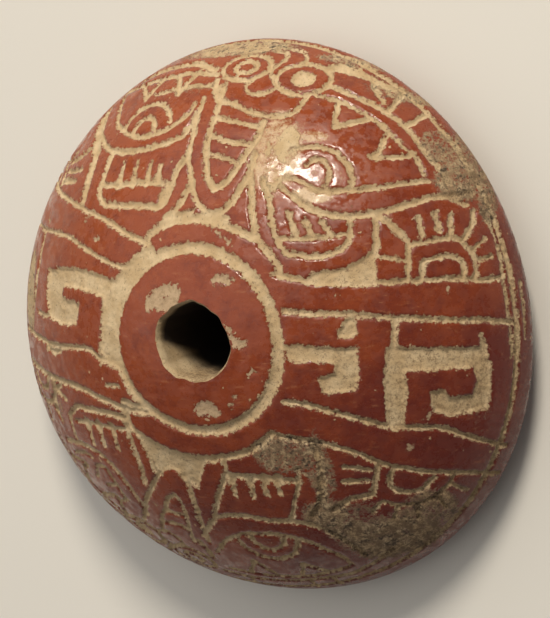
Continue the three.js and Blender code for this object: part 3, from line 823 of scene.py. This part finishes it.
# %% Make the burnished slip
def slip_material():
    made = bpy.data.materials.new("burnished_red_slip_cut_to_buff_clay")
    made.use_nodes = True
    tree = made.node_tree
    tree.nodes.clear()
    place = node(tree, "ShaderNodeTexCoord", {}).outputs["Object"]
    grain = {}
    for name, (cycles, detail, roughness) in PATTERNS.items():
        grain[name] = node(tree, NOISE, IN_SPACE, {
            "Vector": place, "Scale": cycles / MM, "Detail": detail, "Roughness": roughness})
    mark = {}
    for name in ("cut", "chip", "dust", "worn", "bare", "deep", "fired"):
        mark[name] = node(tree, "ShaderNodeAttribute", {"attribute_name": name}).outputs["Fac"]

    share = bare_shares(tree, grain, mark)
    # Worn places show the clay colour through the slip; one of them, under the glare, is a painted highlight.
    red_gone = node(tree, MATH, MAXIMUM, (share["clay"], share["worn"]))
    red, clay = slip_colour(tree, grain, mark, place), clay_colour(tree, grain, mark, share)
    colour = laid_over(tree, red, [(red_gone, clay)])
    gloss = node(tree, RANGE, SMOOTHLY, (grain["gloss"], 0.4, 0.58, *SLIP_ROUGHNESS))
    roughness = node(tree, "ShaderNodeMix", {"data_type": "FLOAT"}, {
        0: share["clay"], 2: gloss, 3: CLAY_ROUGHNESS})

    gritty = node(tree, MATH, MULTIPLY_ADD, (share["clay"], 0.94, 0.06))
    grit = node(tree, MATH, MULTIPLY, (grain["grit"], gritty))
    rubbed = node(tree, MATH, MULTIPLY_ADD, (grain["hollow"], 0.62, grit))
    lip = node(tree, MATH, MULTIPLY_ADD, (share["cut"], -0.25, rubbed))
    bump = node(tree, "ShaderNodeBump", {}, {"Strength": 1.0, "Distance": BUMP_DEPTH * MM, "Height": lip})
    shader = node(tree, "ShaderNodeBsdfPrincipled", {}, {
        "Base Color": colour, "Roughness": roughness.outputs[0], "Normal": bump, "IOR": SLIP_IOR})
    node(tree, "ShaderNodeOutputMaterial", {}, {"Surface": shader})
    return made


slip = slip_material()
print("material:", slip.name, len(slip.node_tree.nodes), "nodes")

# %% [markdown]
# ## The body as a rule
# The whorl was shaped by hand and carved with a gouge. It could be sculpted freely, but a node tree
# keeps every size in reach. This one lays the flat blank on the profile, squeezes it a little out of
# round, and sinks each spot by the depth of the cut it lies in.

# %% Name the tree's inputs
SIZES_IN = {
    "Line Depth": LINE_DEPTH, "Chip Depth": CHIP_DEPTH, "Widest Radius": WIDEST_RADIUS,
    "Oval Swell": OVAL_SWELL, "Lobe Swell": LOBE_SWELL, "Crown Lean": CROWN_LEAN,
    "Crown Height": CROWN_HEIGHT, "Hole Wander": HOLE_WANDER, "Hole Shift": HOLE_SHIFT,
}
KINDS_IN = {
    "Blank": "Geometry", "Profile": "Object", "Carving": "Object", "Chips": "Object",
    **dict.fromkeys(SIZES_IN, "Float"), "Finish": "Material",
}
tree = bpy.data.node_groups.new("shape_and_carve", "GeometryNodeTree")
for name, kind in KINDS_IN.items():
    tree.interface.new_socket(name=name, in_out="INPUT", socket_type="NodeSocket" + kind)
tree.interface.new_socket(name="Whorl", in_out="OUTPUT", socket_type="NodeSocketGeometry")
given = node(tree, "NodeGroupInput", {}).outputs
print("tree inputs:", ", ".join(KINDS_IN))

# %% [markdown]
# ### The depth of every cut
# The distance to the strokes is taken on the flat sheet, one measurement for each gouge width, and the
# least of them counts. Cutting the strokes out one by one as solids would be slow and leave slivers.
# The sheet is first shaken a little, slowly for the hand's drift and quickly for the crumbling edge,
# which makes the lines uneven.

# %% Measure the cuts
SHEET_NOISES = {"drift": (0.4, 3.0), "crumble": (2.3, 3.0), "chip": (2.4, 5.0), "floor": (2.2, 4.0)}
FAR_AWAY = 1000.0
CUT_STARTS = 0.02
LINE_SLOPE = 0.24
CHIP_SLOPE = 0.2

flat = node(tree, "GeometryNodeInputPosition", {}).outputs[0]
sheet_noise = {}
for name, (cycles, detail) in SHEET_NOISES.items():
    sheet_noise[name] = node(tree, NOISE, IN_SPACE, {
        "Vector": flat, "Scale": cycles, "Detail": detail, "Roughness": 0.6}).outputs
hand = flat
for name, sway in (("drift", 0.2), ("crumble", 0.6)):
    centred = node(tree, VECTOR_MATH, SUBTRACT, (sheet_noise[name]["Color"], (0.5, 0.5, 0.5)))
    hand = node(tree, VECTOR_MATH, MULTIPLY_ADD, (centred, (sway, sway, 0.0), hand)).outputs[0]


def distance_to(drawn):
    guides = node(tree, "GeometryNodeObjectInfo", {}, {"Object": drawn}).outputs["Geometry"]
    gouge = node(tree, "GeometryNodeInputNamedAttribute", {"data_type": "INT"}, {"Name": "gouge"})
    nearest = FAR_AWAY
    for group, width in enumerate(GOUGES):
        near = node(tree, "GeometryNodeProximity", {"target_element": "EDGES"}, {
            0: guides, "Group ID": gouge, "Sample Position": hand, "Sample Group ID": group}).outputs
        missing = node(tree, MATH, SUBTRACT, (1.0, near["Is Valid"]))
        outside = node(tree, MATH, MULTIPLY_ADD, (missing, FAR_AWAY, near["Distance"]))
        edge = node(tree, MATH, SUBTRACT, (outside, width / 2 + EDGE_CRUMBLE))
        nearest = node(tree, MATH, MINIMUM, (nearest, edge))
    return nearest


def depth_at(edge, slope, depth):
    share = node(tree, RANGE, SMOOTHLY, (edge, CUT_STARTS, -slope, 0.0, 1.0))
    return node(tree, MATH, MULTIPLY, (share, depth))


line_edge = distance_to(given["Carving"])
chip_edge = node(tree, MATH, MULTIPLY_ADD, (sheet_noise["chip"]["Fac"], 2.0, -0.92))
chip_edge = node(tree, MATH, ADD, (chip_edge, distance_to(given["Chips"])))
deep = node(tree, MATH, MAXIMUM, (depth_at(line_edge, LINE_SLOPE, given["Line Depth"]),
                                  depth_at(chip_edge, CHIP_SLOPE, given["Chip Depth"])))
rough_floor = node(tree, MATH, MULTIPLY_ADD, (sheet_noise["floor"]["Fac"], 1.1, 0.4))
deep = node(tree, MATH, MULTIPLY, (deep, rough_floor))
cut = node(tree, MATH, MINIMUM, (line_edge, chip_edge))
print("tree so far:", len(tree.nodes), "nodes")

# %% [markdown]
# ### From the sheet to the dome
# Each spot asks the profile for the place at its own distance from the middle, and sinks straight into
# the clay there. The hand-made outline swells twice and three times round, and the hole's edge wanders
# and lies a little to one side, which fades out across the disc.

# %% Lay the sheet on the profile
HOLE_REACH = 5.0

axes = node(tree, SPLIT, {}, (flat,)).outputs
way = node(tree, VECTOR_MATH, {"operation": "LENGTH"}, (flat,)).outputs["Value"]
angle = node(tree, MATH, ARCTAN2, (axes["Y"], axes["X"]))
cosine = node(tree, MATH, COSINE, (angle,))
sine = node(tree, MATH, SINE, (angle,))
section = node(tree, "GeometryNodeObjectInfo", {}, {"Object": given["Profile"]}).outputs["Geometry"]
sample = node(tree, "GeometryNodeSampleCurve", {"mode": "LENGTH"}, {"Curves": section, "Length": way}).outputs
spot = node(tree, SPLIT, {}, (sample["Position"],)).outputs
along = node(tree, SPLIT, {}, (sample["Tangent"],)).outputs

swells = 0.0
for times, toward, swell in ((2.0, OVAL_TOWARD, given["Oval Swell"]),
                             (3.0, LOBE_TOWARD, given["Lobe Swell"])):
    turned = node(tree, MATH, MULTIPLY, (node(tree, MATH, SUBTRACT, (angle, toward)), times))
    lobe = node(tree, MATH, MULTIPLY, (node(tree, MATH, COSINE, (turned,)), swell))
    swells = node(tree, MATH, ADD, (swells, lobe))
swells = node(tree, MATH, ADD, (node(tree, MATH, DIVIDE, (swells, given["Widest Radius"])), 1.0))
inward = node(tree, MATH, MULTIPLY, (along["Z"], deep))
downward = node(tree, MATH, MULTIPLY, (along["X"], deep))
reach = node(tree, MATH, ADD, (node(tree, MATH, MULTIPLY, (spot["X"], swells)), inward))
height = node(tree, MATH, SUBTRACT, (spot["Z"], downward))

round_hole = node(tree, JOIN, {}, (cosine, sine))
uneven = node(tree, NOISE, IN_SPACE, {"Vector": round_hole, "Scale": 1.5, "Detail": 1.6, "Roughness": 0.5})
near_hole = node(tree, RANGE, SMOOTHLY, (spot["X"], HOLE_REACH, LIP_REACH, 0.0, 1.0))
wander = node(tree, MATH, MULTIPLY, (node(tree, MATH, SUBTRACT, (uneven, 0.5)), given["Hole Wander"]))
wander = node(tree, MATH, MULTIPLY_ADD, (cosine, given["Hole Shift"], wander))
reach = node(tree, MATH, MULTIPLY_ADD, (wander, near_hole, reach))
print("tree so far:", len(tree.nodes), "nodes")

# %% [markdown]
# ### Place, name and finish
# The crown leans a little, and the outline's middle is moved onto the origin. The distances to cuts
# and chips are stored for the material, coincident points are merged to close the skin, and the tree
# ends in real geometry with its finish on it.

# %% Finish the tree
risen = node(tree, MATH, DIVIDE, (spot["Z"], given["Crown Height"]))
lean = node(tree, MATH, MULTIPLY, (given["Crown Lean"], risen))
sides = []
for turned, leaning, middle in ((cosine, math.cos(CROWN_LEAN_TOWARD), OUTLINE_MIDDLE[0]),
                                (sine, math.sin(CROWN_LEAN_TOWARD), OUTLINE_MIDDLE[1])):
    swung = node(tree, MATH, MULTIPLY, (reach, turned))
    leaned = node(tree, MATH, MULTIPLY_ADD, (lean, leaning, swung))
    sides.append(node(tree, MATH, SUBTRACT, (leaned, middle)))
formed = node(tree, JOIN, {}, (*sides, height))
in_metres = node(tree, VECTOR_MATH, {"operation": "SCALE"}, {0: formed, "Scale": MM}).outputs[0]

made = given["Blank"]
for name, value in (("cut", cut), ("chip", chip_edge)):
    made = node(tree, "GeometryNodeStoreNamedAttribute", {"data_type": "FLOAT", "domain": "POINT"}, {
        "Geometry": made, "Name": name, "Value": value})
made = node(tree, "GeometryNodeSetPosition", {}, {"Geometry": made, "Position": in_metres})
made = node(tree, "GeometryNodeMergeByDistance", {}, {"Geometry": made, "Distance": 0.005 * MM})
made = node(tree, "GeometryNodeRealizeInstances", {}, {"Geometry": made})
made = node(tree, "GeometryNodeSetShadeSmooth", {}, {"Geometry": made})
made = node(tree, "GeometryNodeSetMaterial", {}, {"Geometry": made, "Material": given["Finish"]})
node(tree, "NodeGroupOutput", {}, {0: made})
print("shaping tree:", len(tree.nodes), "nodes")

# %% [markdown]
# ## Dust, wear, bare clay and painted shade
# Soil clings to a few areas, most of all near the rim. The slip is worn thin but still glossy on the
# upper right eye, rubbed off beside it, and stops short on the underside; one worn oval there also pales
# the slip under the glare as a painted highlight. The hole's wall is painted dark as shade, but on its
# lower side, where the light reaches in, the dark starts a few millimetres deeper. A slope across the
# sheet makes the upper left lighter as painted light and the lower right darker as painted shade. These
# marks could be painted by hand. Here they are soft ovals on the flat sheet, kept as attributes, and the
# material breaks them up. Each oval has its place, its two reaches and its strength.

# %% Mark the dusty, worn and bare places
# Wear on the upper right eye: the oval at (10.8, 13.2) pales the slip under the glare as a painted highlight,
# the others are real wear.
WORN_AND_GLARE = (
    (7, 17, 2.9, 4.2, 0.62), (10.8, 15, 3.6, 2.6, 0.47), (6.2, 20.6, 2.6, 1.2, 0.5),
    (10.8, 13.2, 2.3, 0.8, 0.68), (10.3, 18.9, 1.6, 0.7, 0.6),
)
RUBBED_BARE = ((8, 17.8, 1.3, 2.2, 0.62), (6.8, 14.6, 1.3, 1.5, 0.56), (5.9, 16.6, 0.8, 2.2, 0.45))
DUSTY = (
    (24.8, 15.4, 3.0, 3.0, 0.58), (22.8, 19, 2.8, 2.6, 0.55), (25.6, 18.6, 2.4, 4.4, 0.56),
    (28, 14.4, 1.6, 4.4, 0.58), (18.6, 25, 5.0, 1.4, 0.55), (-3.4, 24.4, 3.4, 0.8, 0.48),
    (7.4, -10.6, 3.4, 2.4, 0.58), (10.2, -12.4, 1.5, 4.6, 0.56), (9.8, -17.4, 2.6, 1.9, 0.62),
    (12.6, -17.2, 2.6, 2.2, 0.5), (15.5, -21.5, 5.6, 3.6, 0.64), (19.5, -18.6, 3.4, 3.2, 0.58),
    (11.4, -19.6, 2.6, 1.6, 0.62), (-25.6, 4, 1.9, 5.0, 0.66), (-20.4, -7, 1.6, 3.0, 0.5),
    (-1, 30, 8.0, 1.7, 0.6), (12.5, 28.6, 5.0, 1.2, 0.55), (26, -9.5, 1.6, 2.0, 0.45),
    (14, 11.8, 1.6, 1.0, 0.42), (17, -10.8, 2.0, 1.0, 0.36), (0, 5.6, 4.0, 1.6, 0.34),
)
OVAL_FADE = 1.7
# The light and shade slope points this way: lighter slip and cleaner clay to the upper left as painted light,
# maroon slip and darker clay to the lower right as painted shade.
FIRE_AND_LIGHT_TOWARD = (-0.72, 0.69)
# The hole's painted shade starts deeper on this side of the wall, where the light reaches in.
HOLE_LIT_TOWARD = math.radians(255)


def oval_marks(points, ovals):
    values = np.zeros(len(points))
    for x, y, reach_x, reach_y, strength in ovals:
        away = np.hypot((points[:, 0] - x) / reach_x, (points[:, 1] - y) / reach_y)
        values = np.maximum(values, strength * np.clip(OVAL_FADE - away, 0, 1))
    return values


# Painted shade in the hole: the wall darkens from just under the crown's lip, and on its lower side the dark
# starts a few millimetres deeper, where the light reaches in.
def painted_hole_shade(points, ways):
    wall_end = DOME_WAY + FLANK_WAY + BORE_WAY + WALL_WAY
    from_clean = np.arctan2(points[:, 1], points[:, 0]) - HOLE_LIT_TOWARD
    lit_side = np.clip((np.cos(from_clean) - 0.25) / 0.45, 0, 1)
    darkened = np.clip((wall_end - 0.3 - 2.7 * lit_side - ways) / (1.2 + 2.8 * lit_side), 0, 1)
    return darkened * (ways > wall_end - WALL_WAY)


flat_points = np.array([vertex.co[:2] for vertex in blank.data.vertices])
flat_ways = np.hypot(*flat_points.T)
underside = np.clip((flat_ways - (DOME_WAY + FLANK_WAY - 1.5)) / 3.0, 0, 1) * 0.9
marks = {
    "dust": oval_marks(flat_points, DUSTY),
    "worn": oval_marks(flat_points, WORN_AND_GLARE),
    "bare": np.maximum(underside, oval_marks(flat_points, RUBBED_BARE)),
    # The deep mark is the painted shade in the hole.
    "deep": painted_hole_shade(flat_points, flat_ways),
    "fired": 0.5 + 0.5 * np.clip(flat_points @ np.array(FIRE_AND_LIGHT_TOWARD) / DOME_WAY, -1, 1),
}
for name, values in marks.items():
    blank.data.attributes.new(name, "FLOAT", "POINT").data.foreach_set("value", values)
print("ovals:", len(DUSTY), "dusty,", len(WORN_AND_GLARE), "worn,", len(RUBBED_BARE), "bare")

# %% [markdown]
# ## Shape the whorl
# The tree runs once, as a modifier on the blank. Its result is kept as a plain closed mesh, because
# other programs can't read a node tree.

# %% Shape and carve the whorl
def run_tree(carrier, values):
    modifier = carrier.modifiers.new("shape", "NODES")
    modifier.node_group = tree
    for item in tree.interface.items_tree:
        if item.in_out == "INPUT" and item.name in values:
            modifier[item.identifier] = values[item.name]
    bpy.context.view_layer.update()
    evaluated = carrier.evaluated_get(bpy.context.evaluated_depsgraph_get())
    data = bpy.data.meshes.new_from_object(evaluated)
    carrier.modifiers.remove(modifier)
    return data


shaped = run_tree(blank, {
    **SIZES_IN, "Profile": profile, "Carving": carving_guides, "Chips": chip_guides, "Finish": slip})
whorl = in_scene("carved_whorl", shaped)
for helper in (blank, profile, carving_guides, chip_guides):
    bpy.data.objects.remove(helper)
print("whorl:", len(shaped.vertices), "points,", len(shaped.polygons), "faces")

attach(whorl, "root")
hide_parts(NODE)

# %% [markdown]
# ## Floor and light
# The whorl lies on a pale matt board. A small bright panel on the upper side, like a window, throws the
# glare on the upper right eye and shades the cuts. A faint panel beside it and a wide soft one overhead
# fill the rest, and the lower right turns away from all three and falls into shade. A picture of a real
# room could light it too, but three panels are easier to follow.

# %% Make the floor
FLOOR_REACH = 3.0
FLOOR_COLOUR, FLOOR_ROUGHNESS = "D3D0CA", 0.9


def make_floor():
    made = bpy.data.materials.new("matt_white_board")
    made.use_nodes = True
    shader = made.node_tree.nodes["Principled BSDF"]
    shader.inputs["Base Color"].default_value = linear(FLOOR_COLOUR)
    shader.inputs["Roughness"].default_value = FLOOR_ROUGHNESS
    corners = [(x * FLOOR_REACH, y * FLOOR_REACH, 0) for x, y in ((-1, -1), (1, -1), (1, 1), (-1, 1))]
    data = bpy.data.meshes.new("floor")
    data.from_pydata(corners, [], [(0, 1, 2, 3)])
    data.materials.append(made)
    in_scene("floor", data)


make_floor()
print("floor: %.0f m wide" % (2 * FLOOR_REACH))

# %% Place the lamps
WORLD_COLOUR, WORLD_STRENGTH = "D6D3CE", 0.26


def area_lamp(name, direction, distance, size, watts, hex_colour):
    data = bpy.data.lights.new(name, "AREA")
    data.shape = "DISK"
    data.size = size
    data.energy = watts
    data.color = linear(hex_colour)[:3]
    lamp = in_scene(name, data)
    lamp.location = Vector(direction).normalized() * distance
    lamp.rotation_euler = Vector(direction).to_track_quat("Z", "Y").to_euler()


area_lamp("window_panel", (0.17, 0.74, 0.65), distance=0.6, size=0.16, watts=3.4, hex_colour="FFF5E4")
area_lamp("side_panel", (-0.5, 0.77, 0.39), distance=1.2, size=0.7, watts=0.7, hex_colour="FFF8EE")
area_lamp("overhead_panel", (-0.45, 0.3, 0.84), distance=1.5, size=2.6, watts=13.5, hex_colour="FFFBF4")
world = bpy.data.worlds.new("studio")
world.use_nodes = True
world.node_tree.nodes["Background"].inputs["Color"].default_value = linear(WORLD_COLOUR)
world.node_tree.nodes["Background"].inputs["Strength"].default_value = WORLD_STRENGTH
bpy.context.scene.world = world
bpy.context.scene.view_settings.view_transform = "Standard"
print("lamps:", len(bpy.data.lights))

# %% [markdown]
# ## The camera
# The camera looks down at the whorl from the right of the hole, about 20 cm away, as for a picture in
# the hand. Its place and direction were worked out from how the round outline and the hole appear
# squeezed by the slant. The lens is given in pixels of the picture, whose longer side is its height,
# and the sensor turns that into millimetres.

# %% Place the camera
CAMERA_PLACE = (88.61, 23.78, 186.78)
CAMERA_FORWARD = (-0.42997, -0.11273, -0.89578)
CAMERA_RIGHT = (0.90284, -0.05369, -0.42660)
FOCAL_PIXELS = 2171.8
IMAGE_HEIGHT = 618
SENSOR = 36.0


def make_camera():
    data = bpy.data.cameras.new("camera")
    data.sensor_width = SENSOR
    data.lens = FOCAL_PIXELS * SENSOR / IMAGE_HEIGHT
    data.clip_start = 0.01
    made = in_scene("camera", data)
    back = -Vector(CAMERA_FORWARD).normalized()
    right = Vector(CAMERA_RIGHT).normalized()
    up = back.cross(right)
    turned = Matrix((right, up, back)).transposed().to_4x4()
    turned.translation = Vector(CAMERA_PLACE) * MM
    made.matrix_world = turned
    bpy.context.scene.camera = made
    return made


camera = make_camera()
print("camera lens: %.1f mm" % camera.data.lens)
